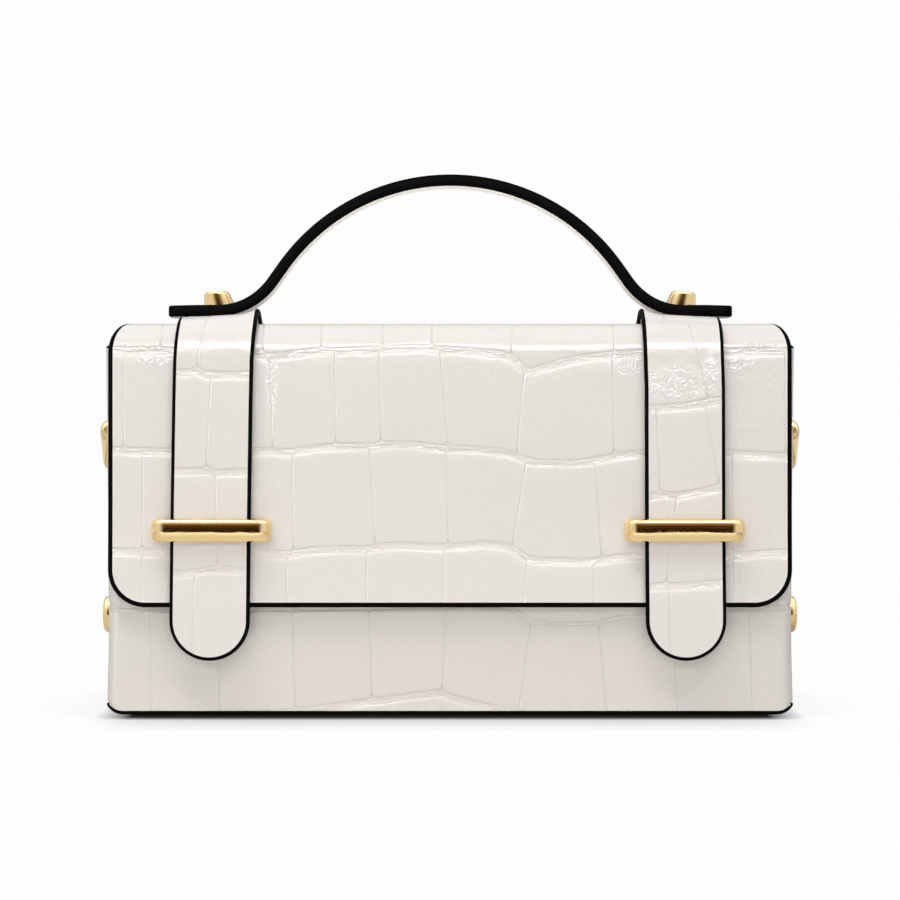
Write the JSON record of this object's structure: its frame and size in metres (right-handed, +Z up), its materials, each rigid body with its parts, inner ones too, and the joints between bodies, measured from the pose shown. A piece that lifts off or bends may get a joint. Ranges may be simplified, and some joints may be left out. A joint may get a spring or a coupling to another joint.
{
  "type": "leather handbag",
  "caption": "Structured box handbag in croc-embossed leather: a stiff flap held by straps that run through metal bars, an arched top handle and strap fittings on the sides.",
  "frame": {"origin": "on the floor, under the middle of the base", "axes": "+Z up, front faces -Y, +X along the bag's width to the viewer's right"},
  "size_m": [0.2368, 0.0948, 0.1773],
  "materials": {
    "embossed_leather": "glossy white leather embossed with large croc scales, cut edges painted black",
    "handle_leather": "laminated white leather strap with thick black painted edges",
    "base_leather": "smooth leather base with black painted edges",
    "gold_metal": "polished, pale gold plated"
  },
  "bodies": {
    "root": {"base": "base_leather", "body_wall": "embossed_leather", "flap": "embossed_leather", "strap_left": "embossed_leather", "strap_right": "embossed_leather", "handle": "handle_leather", "front_bar_left": "gold_metal", "front_bar_right": "gold_metal", "handle_stud_left": "gold_metal", "handle_stud_right": "gold_metal", "strap_loop_left": "gold_metal", "strap_loop_right": "gold_metal", "strap_button_left": "gold_metal", "strap_button_right": "gold_metal"}
  },
  "joints": []
}
